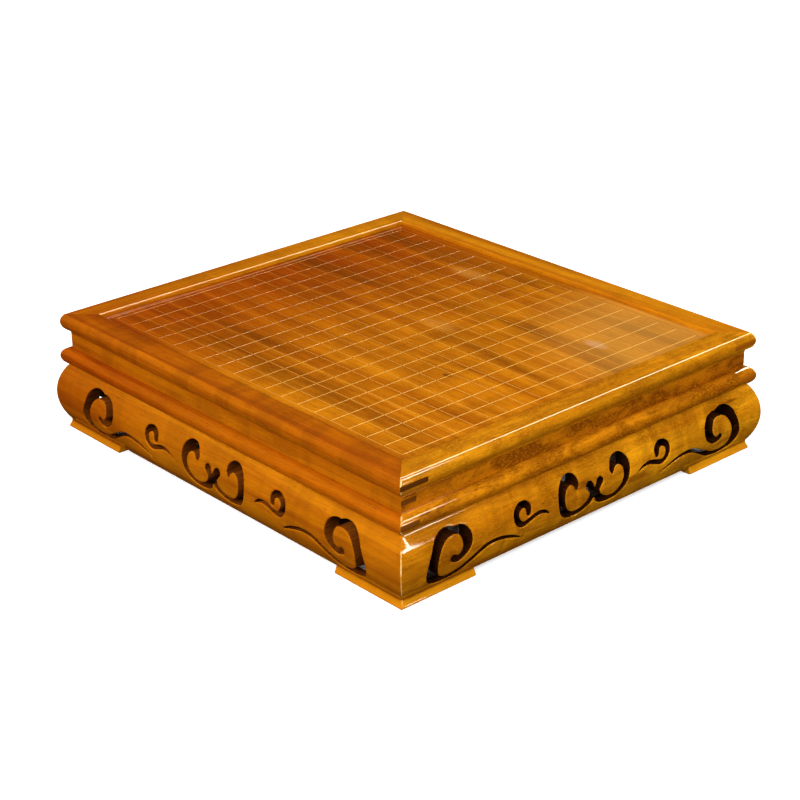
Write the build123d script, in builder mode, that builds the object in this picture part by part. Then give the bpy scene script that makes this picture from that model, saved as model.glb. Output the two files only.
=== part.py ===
"""Go board on a low carved stand, with two stone drawers in the back.

A mitred rim holds a floating playing board. Below it come a recessed waist, a half-round
bead and bulged, pierced aprons whose ends are cut as low feet. The middle of the back
apron is the carved fronts of two drawers, side by side in a case under the board.

Millimetres. +Z is up, the front is -Y, and the origin is on the floor under the centre.
Each side is drawn in its own section: X is the distance outward from the rim's top edge,
and Y is the height above the floor.
"""

import os
from math import cos, hypot, pi, sin

from build123d import *

# ---- driving dimensions: the outside ----
top_length = 500.0  # rim's top edge along X
top_width = 456.0  # rim's top edge along Y

rim_height = 20.8
rim_width = 25.5
rim_nose_reach = 3.8
rim_nose_drop = 8.5  # top of the rim down to the fullest point of its nose
rim_cove_reach = 1.2  # start of the cove under the nose
rim_cove_drop = 15.2
rim_cove_hollow = (2.88, 3.04)  # deepest point of the cove: in from the edge, above the waist
rim_inner_round = 1.6

waist_height = 15.0
waist_inset = 3.6
waist_thickness = 15.0

bead_height = 18.0
bead_reach = 5.6
bead_lip = 1.2  # flat beside the waist before the bead rounds over
bead_rail_width = 20.0

apron_height = 69.2
apron_inset = 8.0  # rim's top edge in to the flat inner face of the apron
apron_top_reach = -0.4
apron_reach = 10.4
bulge_height_share = 0.49  # fullest point of the bulge, as a share of the apron's face
foot_gap = 7.0  # floor to the apron's lower edge
foot_length = 85.0
foot_neck_reach = 0.8
foot_toe_reach = 3.4
foot_toe_height = 1.2
foot_flare_hollow = 0.5

# ---- driving dimensions: the playing board ----
panel_recess = 4.2
panel_thickness = 12.0
panel_edge_gap = 0.6
panel_tongue_bite = 5.0  # how far the tongue reaches into the rim
panel_tongue_height = 5.0
panel_tongue_drop = 5.0  # playing surface down to the tongue
groove_play = 0.2

line_count = 19
field_margin_length = 13.0  # rim's inner face to the outermost line, along X
field_margin_width = 11.7
line_width = 0.9
line_depth = 0.3

batten_count = 3
batten_margin = 74.5  # rim's inner face to the middle of the outer battens
batten_width = 28.0
batten_height = 14.0
dovetail_width = 18.0
dovetail_height = 4.0
dovetail_slope = 2.0

# ---- driving dimensions: the corners ----
finger_height = 5.0  # tongue of the long rails, seen as end grain on the short sides
rim_finger_drop = 8.4  # top of each rail down to the middle of its tongue
waist_finger_drop = 5.9
bead_finger_drop = 8.5
block_leg = 12.0

# ---- driving dimensions: the pierced carving ----
carving_face = 62.2  # apron face height that the scrolls are drawn for
corner_margin_long = 63.0  # corner of the rim in to the corner scroll's centre
corner_margin_short = 48.0
small_scroll_share = 0.515  # small scroll's place between the centre and the corner scroll
eye_sides = 6  # flats of the round end that a scroll curls into

# ---- driving dimensions: the drawers ----
bay_margin = 17.7  # small scroll's centre out to the edge of the drawer opening
drawer_depth = 290.0
drawer_height = 49.0
drawer_lift = 13.0  # floor to the underside of the drawer box
drawer_wall = 10.0
finger_space = 14.0  # carved front to the inner front
drawer_bottom_thickness = 5.0
drawer_bottom_rise = 3.0
drawer_bottom_seat = 4.0
front_gap = 0.5
side_gap = 1.0
back_gap = 0.4
case_wall = 10.0
case_lift = 8.5
runner_height = 8.0
runner_bite = 4.0  # how far a runner reaches into the drawer side
runner_play = 0.3
runner_rise = 27.0  # underside of the drawer box to the underside of the runner

# ---- heights and places that follow ----
bead_top = apron_height + bead_height
waist_top = bead_top + waist_height
total_height = waist_top + rim_height
playing_height = total_height - panel_recess
panel_bottom = playing_height - panel_thickness
tongue_top = playing_height - panel_tongue_drop
tongue_bottom = tongue_top - panel_tongue_height
groove_reach = panel_edge_gap + panel_tongue_bite
inner_wall_y = top_width / 2 - apron_inset
apron_bulge_height = (foot_gap + apron_height) / 2
carving_scale = (apron_height - foot_gap) / carving_face
opening_length = top_length - 2 * rim_width
opening_width = top_width - 2 * rim_width
# The drawer openings end between the back's small and corner scrolls.
bay_width = (top_length / 2 - corner_margin_long) * small_scroll_share + bay_margin
past_corner = apron_reach + rim_width

UP = Vector(0, 0, 1)
SIDES = {
    "front": (Vector(0, -1, 0), top_width / 2, top_length / 2),
    "back": (Vector(0, 1, 0), top_width / 2, top_length / 2),
    "left": (Vector(-1, 0, 0), top_length / 2, top_width / 2),
    "right": (Vector(1, 0, 0), top_length / 2, top_width / 2),
}
LONG_SIDES = ("front", "back")

os.makedirs("parts", exist_ok=True)


def save(piece, name):
    """Label a finished piece and write it as its own file."""
    piece.part.label = name
    export_step(piece.part, f"parts/{name}.step")


def section_plane(side):
    """Cross-section of a side: X outward from the rim's top edge, Y up from the floor."""
    outward, reach, _ = SIDES[side]
    return Plane(origin=outward * reach, x_dir=outward, z_dir=outward.cross(UP))


def face_plane(side, height):
    """A side seen from outside, with its origin at the middle of the side."""
    outward, reach, _ = SIDES[side]
    return Plane(origin=outward * reach + UP * height, x_dir=UP.cross(outward), z_dir=outward)


def plan_plane(side, height):
    """A side seen from above: X along the side, Y outward from the rim's top edge."""
    outward, reach, _ = SIDES[side]
    return Plane(origin=outward * reach + UP * height, x_dir=outward.cross(UP), z_dir=UP)


def box_between(low, high, mode=Mode.ADD):
    """A box from its lowest corner to its highest."""
    size = [high[i] - low[i] for i in range(3)]
    middle = tuple((high[i] + low[i]) / 2 for i in range(3))
    with Locations(middle):
        Box(*size, mode=mode)


# ---- sections of the mouldings ----


def rim_section():
    """Rim rail: full nose over a small cove outside, square with a rounded edge inside."""
    top_edge = (0, total_height)
    nose = (rim_nose_reach, total_height - rim_nose_drop)
    cove = (rim_cove_reach, total_height - rim_cove_drop)
    hollow = (-rim_cove_hollow[0], waist_top + rim_cove_hollow[1])
    base = (-waist_inset, waist_top)
    with BuildSketch() as sketch:
        with BuildLine():
            ThreePointArc(top_edge, nose, cove)
            ThreePointArc(cove, hollow, base)
            Polyline(base, (-rim_width, waist_top), (-rim_width, total_height), top_edge)
        make_face()
        fillet(sketch.vertices().group_by(Axis.X)[0].sort_by(Axis.Y)[-1], rim_inner_round)
    return sketch.sketch


def waist_section():
    """Waist board: a plain rectangle set back under the rim."""
    with BuildSketch() as sketch:
        with Locations((-waist_inset, bead_top)):
            Rectangle(waist_thickness, waist_height, align=(Align.MAX, Align.MIN))
    return sketch.sketch


def bead_section():
    """Bead rail: half round outside, square inside."""
    inner = bead_reach - bead_rail_width
    start = bead_lip - waist_inset
    with BuildSketch() as sketch:
        with BuildLine():
            ThreePointArc((start, apron_height), (bead_reach, (apron_height + bead_top) / 2),
                          (start, bead_top))
            Polyline((start, bead_top), (inner, bead_top), (inner, apron_height),
                     (start, apron_height))
        make_face()
    return sketch.sketch


def apron_section():
    """Apron board: bulged outside, flat inside, with the foot's flare at its bottom."""
    neck = (foot_neck_reach, foot_gap + foot_toe_height)
    toe = (foot_toe_reach, foot_toe_height)
    flare = ((neck[0] + toe[0]) / 2 - foot_flare_hollow, (neck[1] + toe[1]) / 2)
    fullest = (apron_reach, neck[1] + bulge_height_share * (apron_height - neck[1]))
    with BuildSketch() as sketch:
        with BuildLine():
            ThreePointArc((apron_top_reach, apron_height), fullest, neck)
            ThreePointArc(neck, flare, toe)
            Polyline(toe, (foot_toe_reach, 0), (-apron_inset, 0), (-apron_inset, apron_height),
                     (apron_top_reach, apron_height))
        make_face()
    return sketch.sketch


# ---- mitred frames of the rim, the waist and the bead ----


def mitre_plan(side, inner):
    """Plan of one side between its two mitres, from its inner line to past the outside."""
    half_run = SIDES[side][2]
    with BuildSketch(plan_plane(side, 0)) as plan:
        with BuildLine():
            Polyline((-(half_run - inner), -inner), (half_run - inner, -inner),
                     (half_run + past_corner, past_corner), (-(half_run + past_corner), past_corner),
                     close=True)
        make_face()
    return plan.sketch


def frame_core(section, inner):
    """Everything between the outer faces of the two short sides of one frame."""
    with BuildPart() as core:
        extrude(section_plane("right") * section, amount=top_width, both=True)
        box_between((0, -top_width, 0), (top_length / 2 - inner, top_width, total_height))
        mirror(about=Plane.YZ)
    return core.part


def long_rail(side, section, inner, finger_middle):
    """A long rail: mitred above and below, with its tongues through the short rails."""
    half_run = SIDES[side][2]
    core = frame_core(section, inner)
    with BuildPart() as rail:
        extrude(section_plane(side) * section, amount=half_run + past_corner, both=True)
        low = rail.part.bounding_box().min.Z
        high = rail.part.bounding_box().max.Z
        for start, end in ((low, finger_middle - finger_height / 2),
                           (finger_middle + finger_height / 2, high)):
            with BuildSketch(plan_plane(side, start)):
                with BuildLine():
                    Polyline((half_run - 2 * inner, -2 * inner), (half_run + past_corner, past_corner),
                             (half_run + 2 * past_corner, past_corner),
                             (half_run + 2 * past_corner, -2 * inner), close=True)
                make_face()
                mirror(about=Plane.YZ)
            extrude(amount=end - start, mode=Mode.SUBTRACT)
        add(core, mode=Mode.INTERSECT)
    return rail


def short_rail(side, section, inner, finger_middle):
    """A short rail: mitred, and slotted at both ends for the long rails' tongues."""
    half_run = SIDES[side][2]
    with BuildPart() as rail:
        extrude(section_plane(side) * section, amount=half_run + past_corner, both=True)
        extrude(mitre_plan(side, inner), amount=total_height, mode=Mode.INTERSECT)
        with BuildSketch(plan_plane(side, finger_middle - finger_height / 2)):
            with Locations((half_run - inner, 0)):
                Rectangle(4 * past_corner, 4 * past_corner, align=(Align.MIN, Align.CENTER))
            mirror(about=Plane.YZ)
        extrude(amount=finger_height, mode=Mode.SUBTRACT)
    return rail


def frame_rail(side, section, inner, finger_middle):
    """One rail of a frame, by whether its side is long or short."""
    if side in LONG_SIDES:
        return long_rail(side, section, inner, finger_middle)
    return short_rail(side, section, inner, finger_middle)


for side in SIDES:
    rim = frame_rail(side, rim_section(), rim_width, total_height - rim_finger_drop)
    with rim:
        box_between((groove_reach - (top_length / 2 - rim_width + 2 * groove_reach),
                     groove_reach - (top_width / 2 - rim_width + 2 * groove_reach), tongue_bottom),
                    (top_length / 2 - rim_width + groove_reach,
                     top_width / 2 - rim_width + groove_reach, tongue_top + groove_play),
                    mode=Mode.SUBTRACT)
    save(rim, f"rim_{side}")

for side in SIDES:
    waist = frame_rail(side, waist_section(), waist_inset + waist_thickness,
                       waist_top - waist_finger_drop)
    save(waist, f"waist_board_{side}")

for side in SIDES:
    bead = frame_rail(side, bead_section(), bead_rail_width - bead_reach,
                      bead_top - bead_finger_drop)
    save(bead, f"bead_rail_{side}")


# ---- playing board ----

field_length = opening_length - 2 * field_margin_length
field_width = opening_width - 2 * field_margin_width
cell_length = field_length / (line_count - 1)
cell_width = field_width / (line_count - 1)
batten_run = opening_length - 2 * batten_margin
batten_places = [-batten_run / 2 + i * batten_run / (batten_count - 1) for i in range(batten_count)]


def batten_section(x):
    """A batten and its dovetail tongue, seen along its length."""
    with BuildSketch(Plane.XZ.offset(-opening_width / 2)) as sketch:
        with Locations((x, panel_bottom)):
            Rectangle(batten_width, batten_height, align=(Align.CENTER, Align.MAX))
        with BuildLine():
            half = dovetail_width / 2
            Polyline((x - half, panel_bottom), (x + half, panel_bottom),
                     (x + half + dovetail_slope, panel_bottom + dovetail_height),
                     (x - half - dovetail_slope, panel_bottom + dovetail_height), close=True)
        make_face()
    return sketch.sketch


with BuildPart() as board_panel:
    with Locations((0, 0, panel_bottom)):
        Box(opening_length - 2 * panel_edge_gap, opening_width - 2 * panel_edge_gap, panel_thickness,
            align=(Align.CENTER, Align.CENTER, Align.MIN))
    with Locations((0, 0, tongue_bottom)):
        Box(opening_length + 2 * panel_tongue_bite, opening_width + 2 * panel_tongue_bite,
            panel_tongue_height, align=(Align.CENTER, Align.CENTER, Align.MIN))
    for batten_x in batten_places:
        extrude(batten_section(batten_x), amount=opening_width, mode=Mode.SUBTRACT)
    for cutting_plane, cell, run in ((Plane.YZ, cell_width, field_length),
                                     (Plane.XZ, cell_length, field_width)):
        with BuildSketch(cutting_plane):
            with Locations((0, playing_height)), GridLocations(cell, 0, line_count, 1):
                Polygon((-line_width / 2, 0), (line_width / 2, 0), (0, -line_depth), align=None)
        extrude(amount=run / 2, both=True, mode=Mode.SUBTRACT)
save(board_panel, "board_panel")

for number, batten_x in enumerate(batten_places, start=1):
    with BuildPart() as batten:
        extrude(batten_section(batten_x), amount=opening_width)
    save(batten, f"panel_batten_{number}")


# ---- pierced carving ----

# Each scroll is a stroke that swells and thins: stations of (along, up, width), drawn from
# the scroll's own centre line and the middle of the apron's face.
CORNER_CURL = [(-3.5, -6.0, 7.0), (-9.5, -8.0, 7.0), (-15.5, -4.8, 8.0), (-19.7, 0.5, 10.5),
               (-20.5, 7.0, 12.0), (-18.5, 13.5, 11.0), (-13.5, 17.6, 8.0), (-7.0, 18.8, 6.0)]
CORNER_ARCH = [(-9.0, 18.3, 5.5), (-1.0, 19.6, 8.5), (7.0, 17.8, 10.5), (13.0, 12.5, 11.0),
               (17.0, 5.0, 10.5), (19.8, -3.0, 11.5), (20.6, -11.0, 13.5), (18.0, -18.0, 12.0),
               (12.0, -22.5, 8.0), (4.0, -24.6, 6.0), (-6.0, -24.2, 6.0), (-16.0, -21.4, 5.8),
               (-29.0, -14.5, 5.2), (-41.0, -8.6, 4.5)]
CORNER_TAIL = [(-50.0, -6.8, 4.0), (-60.0, -7.3, 3.7), (-70.0, -9.7, 3.3), (-79.0, -13.0, 2.4),
               (-87.0, -17.0, 0.8)]
SHORT_TAIL = [(-47.0, -7.4, 3.4), (-53.0, -7.4, 0.8)]
SMALL_SCROLL = [(-7.5, 5.5, 6.0), (-7.5, 11.0, 7.0), (-3.6, 14.6, 6.2), (2.2, 14.2, 6.6),
                (6.8, 10.3, 6.6), (7.2, 4.0, 6.6), (3.6, -1.6, 6.0), (-2.0, -3.7, 5.4),
                (-16.0, 0.4, 4.4), (-23.0, 0.7, 3.6), (-29.0, -1.0, 2.6), (-34.0, -4.6, 0.8)]
RUYI_HALF = [(6.8, 4.8, 9.4), (3.4, -1.0, 7.2), (3.4, -6.5, 7.4), (7.0, -12.4, 8.0),
             (15.0, -17.0, 7.0), (25.0, -18.4, 6.4), (34.0, -15.6, 7.4), (40.8, -8.0, 8.2),
             (43.2, 2.0, 8.6), (41.4, 12.0, 9.8), (35.0, 17.8, 10.8), (27.8, 17.6, 9.6),
             (23.8, 12.0, 6.6), (24.0, 7.0, 2.0)]


def stroke(stations, place, round_start=True):
    """One scroll stroke: a closed outline half a width to each side of its centre line.

    Its start is the round eye that the scroll curls into, unless it grows out of another stroke.
    """
    left = []
    right = []
    eye = []
    for i, (along, up, width) in enumerate(stations):
        before = stations[max(i - 1, 0)]
        after = stations[min(i + 1, len(stations) - 1)]
        run = hypot(after[0] - before[0], after[1] - before[1])
        across = (-(after[1] - before[1]) / run, (after[0] - before[0]) / run)
        for edge, half in ((left, width / 2), (right, -width / 2)):
            edge.append((place + (along + across[0] * half) * carving_scale,
                         (up + across[1] * half) * carving_scale))
        if i == 0 and round_start:
            for turn in range(1, eye_sides):
                angle = pi * turn / eye_sides
                side = -cos(angle) * width / 2
                back = -sin(angle) * width / 2
                eye.append((place + (along + across[0] * side + across[1] * back) * carving_scale,
                            (up + across[1] * side - across[0] * back) * carving_scale))
    with BuildLine() as outline:
        Polyline(*left, *reversed(right), *eye, close=True)
    make_face(outline.edges())


def carving(side, corner_margin, tail):
    """The pierced pattern of one side: a ruyi between mirrored small and corner scrolls."""
    corner_place = SIDES[side][2] - corner_margin
    small_place = corner_place * small_scroll_share
    with BuildSketch(face_plane(side, apron_bulge_height)) as pattern:
        stroke(CORNER_CURL, corner_place)
        stroke(CORNER_ARCH + tail, corner_place, round_start=False)
        stroke(SMALL_SCROLL, small_place)
        stroke(RUYI_HALF, 0)
        mirror(about=Plane.YZ)
    return pattern.sketch


# ---- aprons ----


def apron_board(side, corner_margin, tail):
    """A whole side's apron: mitred, relieved between its feet and pierced."""
    half_run = SIDES[side][2]
    with BuildPart() as board:
        extrude(section_plane(side) * apron_section(), amount=half_run + past_corner, both=True)
        extrude(mitre_plan(side, apron_inset), amount=total_height, mode=Mode.INTERSECT)
        with BuildSketch(plan_plane(side, 0)):
            Rectangle(2 * (half_run - foot_length), 4 * past_corner)
        extrude(amount=foot_gap, mode=Mode.SUBTRACT)
        extrude(carving(side, corner_margin, tail), amount=2 * past_corner, both=True,
                mode=Mode.SUBTRACT)
    return board


for side, corner_margin in (("front", corner_margin_long), ("left", corner_margin_short),
                            ("right", corner_margin_short)):
    save(apron_board(side, corner_margin, CORNER_TAIL), f"apron_{side}")

# The back apron is cut in four: its two ends stay, and the middle pieces are drawer fronts.
back_apron = apron_board("back", corner_margin_long, SHORT_TAIL).part
beyond = top_length


def back_piece(low_x, high_x, top):
    """The part of the back apron between two upright cuts and under a level one."""
    with BuildPart() as piece:
        add(back_apron)
        box_between((low_x, 0, 0), (high_x, beyond, top), mode=Mode.INTERSECT)
    return piece


save(back_piece(-beyond, -bay_width, apron_height), "apron_back_left")
save(back_piece(bay_width, beyond, apron_height), "apron_back_right")

for corner, (sign_x, sign_y) in {"front_left": (-1, -1), "front_right": (1, -1),
                                 "back_left": (-1, 1), "back_right": (1, 1)}.items():
    with BuildPart() as corner_block:
        corner_x = sign_x * (top_length / 2 - apron_inset)
        corner_y = sign_y * inner_wall_y
        with BuildSketch(Plane.XY.offset(foot_gap)):
            with BuildLine():
                Polyline((corner_x, corner_y), (corner_x - sign_x * block_leg, corner_y),
                         (corner_x, corner_y - sign_y * block_leg), close=True)
            make_face()
        extrude(amount=apron_height - foot_gap)
    save(corner_block, f"corner_block_{corner}")


# ---- drawer case ----

drawer_back_y = inner_wall_y - finger_space - drawer_depth
runner_low = drawer_lift + runner_rise
inner_front_y = inner_wall_y - finger_space

for name, low_x, high_x, high_y in (
        ("case_side_left", -bay_width - case_wall, -bay_width, inner_wall_y),
        ("case_divider", -case_wall / 2, case_wall / 2, inner_wall_y - front_gap),
        ("case_side_right", bay_width, bay_width + case_wall, inner_wall_y)):
    with BuildPart() as case_board:
        box_between((low_x, -inner_wall_y, case_lift), (high_x, high_y, apron_height))
    save(case_board, name)

for name, sign in (("left", -1), ("right", 1)):
    inner_x, outer_x = sorted((sign * case_wall / 2, sign * bay_width))
    with BuildPart() as case_back:
        box_between((inner_x, drawer_back_y - back_gap - case_wall, case_lift),
                    (outer_x, drawer_back_y - back_gap, apron_height))
    save(case_back, f"case_back_{name}")

for name, wall_x, sign in (("left_outer", -bay_width, 1), ("left_inner", -case_wall / 2, -1),
                           ("right_inner", case_wall / 2, 1), ("right_outer", bay_width, -1)):
    low_x, high_x = sorted((wall_x, wall_x + sign * (side_gap + runner_bite)))
    with BuildPart() as runner:
        box_between((low_x, drawer_back_y - back_gap, runner_low),
                    (high_x, inner_front_y, runner_low + runner_height))
    save(runner, f"runner_{name}")


# ---- drawers ----

box_low_x = case_wall / 2 + side_gap
box_high_x = bay_width - side_gap
box_top = drawer_lift + drawer_height
bottom_low = drawer_lift + drawer_bottom_rise
bottom_top = bottom_low + drawer_bottom_thickness
seat_inset = drawer_wall - drawer_bottom_seat
bottom_seat = ((box_low_x + seat_inset, drawer_back_y + seat_inset, bottom_low),
               (box_high_x - seat_inset, inner_front_y - seat_inset, bottom_top))


def mirrored(low, high, sign):
    """The same box on the right, or mirrored to the left."""
    if sign > 0:
        return low, high
    return (-high[0], low[1], low[2]), (-low[0], high[1], high[2])


for name, sign in (("left", -1), ("right", 1)):
    low_x, high_x = sorted((sign * front_gap / 2, sign * (bay_width - front_gap)))
    save(back_piece(low_x, high_x, apron_height - front_gap), f"drawer_front_{name}")

    seat = mirrored(*bottom_seat, sign)
    for wall, low_x, high_x, groove_low, groove_high in (
            ("inner", box_low_x, box_low_x + drawer_wall,
             box_low_x, box_low_x + runner_bite + runner_play),
            ("outer", box_high_x - drawer_wall, box_high_x,
             box_high_x - runner_bite - runner_play, box_high_x)):
        with BuildPart() as drawer_side:
            box_between(*mirrored((low_x, drawer_back_y, drawer_lift),
                                  (high_x, inner_wall_y, box_top), sign))
            box_between(*mirrored((groove_low, drawer_back_y, runner_low - runner_play),
                                  (groove_high, inner_wall_y, runner_low + runner_height + runner_play),
                                  sign), mode=Mode.SUBTRACT)
            box_between(*seat, mode=Mode.SUBTRACT)
        save(drawer_side, f"drawer_side_{wall}_{name}")

    for end, low_y in (("inner_front", inner_front_y - drawer_wall), ("back", drawer_back_y)):
        with BuildPart() as drawer_end:
            box_between(*mirrored((box_low_x + drawer_wall, low_y, drawer_lift),
                                  (box_high_x - drawer_wall, low_y + drawer_wall, box_top), sign))
            box_between(*seat, mode=Mode.SUBTRACT)
        save(drawer_end, f"drawer_{end}_{name}")

    with BuildPart() as drawer_bottom:
        box_between(*seat)
    save(drawer_bottom, f"drawer_bottom_{name}")
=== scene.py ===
"""Looks of a go board on a carved, lacquered stand with two stone drawers.

The mouldings are swept from their sections, the aprons are cut from a fine sheet that is
bent to the bulge, and the lines of the playing board are laid into its grooves.
Shapes are drawn in millimetres and become metres where a mesh is made. Lights, the camera
and the finishes' own coordinates are in metres.
"""

import math

import bpy
import numpy as np
from mathutils import Matrix, Vector
from mathutils.geometry import delaunay_2d_cdt


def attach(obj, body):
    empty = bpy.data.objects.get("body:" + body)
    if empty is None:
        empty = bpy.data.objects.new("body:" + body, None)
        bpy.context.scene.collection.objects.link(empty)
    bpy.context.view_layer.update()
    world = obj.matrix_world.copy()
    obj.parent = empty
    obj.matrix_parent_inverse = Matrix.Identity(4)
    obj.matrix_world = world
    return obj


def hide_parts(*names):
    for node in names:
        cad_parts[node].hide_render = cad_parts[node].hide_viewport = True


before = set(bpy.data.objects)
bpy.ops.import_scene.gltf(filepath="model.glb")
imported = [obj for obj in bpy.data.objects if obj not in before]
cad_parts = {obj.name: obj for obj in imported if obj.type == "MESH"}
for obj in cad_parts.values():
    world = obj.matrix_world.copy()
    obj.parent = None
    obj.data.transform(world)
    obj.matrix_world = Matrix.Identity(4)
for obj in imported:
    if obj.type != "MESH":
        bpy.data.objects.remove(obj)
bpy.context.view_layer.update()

MM = 0.001


def ends_of(node, axis):
    """The two ends of a node of the frame along X (0), Y (1) or Z (2)."""
    places = [corner[axis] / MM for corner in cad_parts[node].bound_box]
    return round(min(places), 3), round(max(places), 3)


# ---- sizes of the board ----
HALF_LENGTH = 250.0
HALF_WIDTH = 228.0
APRON_TOP = ends_of("apron_front", 2)[1]
BEAD_TOP = ends_of("bead_rail_front", 2)[1]
WAIST_TOP = ends_of("waist_board_front", 2)[1]
RIM_TOP = ends_of("rim_front", 2)[1]
PLAYING_HEIGHT = ends_of("board_panel", 2)[1]
BAY_EDGE = ends_of("apron_back_right", 0)[0]
FOOT_GAP = 7.0  # floor to the apron's lower edge between the feet
FOOT_LENGTH = 85.0
APRON_BACK = -8.0  # the apron's flat inner face, outward from the rim's top edge
DRAWER_GAP = 0.5
TONGUE_HEIGHT = 5.0
JOINT_GAP = 0.03
CORNER_ROUND = 1.2
EDGE_ROUND = 0.9

# Outward direction, direction along the side, rim's top edge from the centre, half the run.
SIDES = {
    "front": ((0, -1), (1, 0), HALF_WIDTH, HALF_LENGTH),
    "right": ((1, 0), (0, 1), HALF_LENGTH, HALF_WIDTH),
    "back": ((0, 1), (-1, 0), HALF_WIDTH, HALF_LENGTH),
    "left": ((-1, 0), (0, -1), HALF_LENGTH, HALF_WIDTH),
}
LONG_SIDES = ("front", "back")


# ---- node building ----

def new_node(tree, kind, inputs, settings):
    """Add a node to a tree: its settings come first, then the values or links of its sockets."""
    made = tree.nodes.new(kind)
    for name, value in settings.items():
        setattr(made, name, value)
    for name, value in inputs.items():
        if isinstance(value, bpy.types.NodeSocket):
            tree.links.new(value, made.inputs[name])
        else:
            made.inputs[name].default_value = value
    return made


class Field:
    """A socket's value in a shader, worked on with Python's operators."""

    def __init__(self, shading, socket):
        self.shading = shading
        self.socket = socket

    def _math(self, operation, *values):
        return self.shading.node("ShaderNodeMath", dict(enumerate(values)), operation=operation)

    def __add__(self, other):
        return self._math("ADD", self, other)

    def __radd__(self, other):
        return self._math("ADD", other, self)

    def __sub__(self, other):
        return self._math("SUBTRACT", self, other)

    def __rsub__(self, other):
        return self._math("SUBTRACT", other, self)

    def __mul__(self, other):
        return self._math("MULTIPLY", self, other)

    def __rmul__(self, other):
        return self._math("MULTIPLY", other, self)

    def step(self, low, high):
        """0 under low, 1 over high, and smooth between them."""
        return self.shading.node("ShaderNodeMapRange",
                                 {"Value": self, "From Min": low, "From Max": high},
                                 interpolation_type="SMOOTHSTEP")


class Shading:
    """A shader's node tree, and the nodes that Fields come from."""

    def __init__(self, tree):
        self.tree = tree

    def node(self, kind, inputs=None, output=0, **settings):
        """Add a node, from its settings and the values or Fields of its sockets."""
        sockets = {name: value.socket if isinstance(value, Field) else value
                   for name, value in (inputs or {}).items()}
        return Field(self, new_node(self.tree, kind, sockets, settings).outputs[output])

    def mix(self, factor, one, other):
        """Two colours mixed by a factor."""
        def colour(value):
            return value if isinstance(value, Field) else (*value, 1)
        return self.node("ShaderNodeMix", {0: factor, 6: colour(one), 7: colour(other)}, output=2,
                         data_type="RGBA")


class Finish(Shading):
    """One material and the nodes that make its surface."""

    def __init__(self, name):
        self.material = bpy.data.materials.new(name)
        self.material.use_nodes = True
        super().__init__(self.material.node_tree)
        self.surface = self.tree.nodes["Principled BSDF"]

    def place(self, scale, shift=(0, 0, 0)):
        """The piece's own coordinates, scaled and shifted."""
        own = self.node("ShaderNodeTexCoord", output="Object")
        return self.node("ShaderNodeMapping", {"Vector": own, "Scale": scale, "Location": shift})

    def noise(self, place, detail=3.0, rough=0.5, distortion=0.0):
        return self.node("ShaderNodeTexNoise", {"Vector": place, "Scale": 1.0, "Detail": detail,
                                                "Roughness": rough, "Distortion": distortion})

    def grain(self, along, length_scale, cross_scale, shift, detail, rough, distortion=0.0):
        """Noise drawn out along X (0) or Y (1)."""
        scales = [cross_scale, cross_scale, cross_scale]
        scales[along] = length_scale
        return self.noise(self.place(tuple(scales), shift), detail, rough, distortion)

    def spot(self, centre, radii):
        """1 inside a soft-edged spot of the piece's own coordinates, 0 outside it."""
        near = self.node("ShaderNodeVectorMath", {0: self.place(tuple(1 / r for r in radii)),
                                                  1: tuple(c / r for c, r in zip(centre, radii))},
                         output=1, operation="DISTANCE")
        return 1 - near.step(0.4, 1.0)

    def along(self, axis):
        """The piece's own coordinate along X (0), Y (1) or Z (2)."""
        return self.node("ShaderNodeSeparateXYZ", {0: self.place((1, 1, 1))}, output=axis)

    def set(self, **values):
        """Set or link sockets of the surface, by their names with spaces for underscores."""
        for name, value in values.items():
            socket = self.surface.inputs[name.replace("_", " ")]
            if isinstance(value, Field):
                self.tree.links.new(value.socket, socket)
            else:
                socket.default_value = value

    def coat(self, roughness, weight=1.0):
        """Clear lacquer, which mirrors instead of the surface under it."""
        self.set(Specular_IOR_Level=0.0, Coat_Weight=weight, Coat_Roughness=roughness, Coat_IOR=1.45)


# ---- camera, lights and room ----

camera = bpy.data.objects.new("camera", bpy.data.cameras.new("camera"))
bpy.context.scene.collection.objects.link(camera)
camera.data.sensor_width = 36.0
camera.data.lens = 88.657
camera.data.clip_start = 0.05
camera.matrix_world = Matrix(((0.669399, -0.300681, 0.679335, 1.33254),
                              (0.742822, 0.284479, -0.606043, -1.19288),
                              (-0.011031, 0.910309, 0.413782, 0.85313),
                              (0, 0, 0, 1)))
bpy.context.scene.camera = camera
bpy.context.scene.view_settings.view_transform = "Standard"


def soft_light(name, place, aim, size, watts, colour=(1, 1, 1)):
    """A rectangular studio light that faces its aim."""
    lamp = bpy.data.objects.new(name, bpy.data.lights.new(name, "AREA"))
    lamp.data.shape = "RECTANGLE"
    lamp.data.size, lamp.data.size_y = size
    lamp.data.energy = watts
    lamp.data.color = colour
    lamp.location = place
    lamp.rotation_euler = (Vector(aim) - Vector(place)).to_track_quat("-Z", "Y").to_euler()
    bpy.context.scene.collection.objects.link(lamp)
    return lamp


# Broad softboxes that light the wood but leave no hard-edged mirror image in the lacquer.
for softbox in (
        soft_light("top_softbox", (-0.25, 1.15, 1.55), (0.1, 0, 0.1), (1.2, 0.5), 11),
        soft_light("right_softbox", (2.1, 0.05, 1.25), (0, 0, 0.05), (0.9, 0.7), 39),
        soft_light("front_softbox", (0.6, -2.1, 1.4), (0, 0, 0.05), (1.6, 0.7), 72),
        soft_light("left_softbox", (-1.7, -1.2, 1.5), (0, -0.2, 0.05), (2.0, 1.4), 13,
                   (1.0, 0.72, 0.30))):
    softbox.visible_glossy = False

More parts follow.
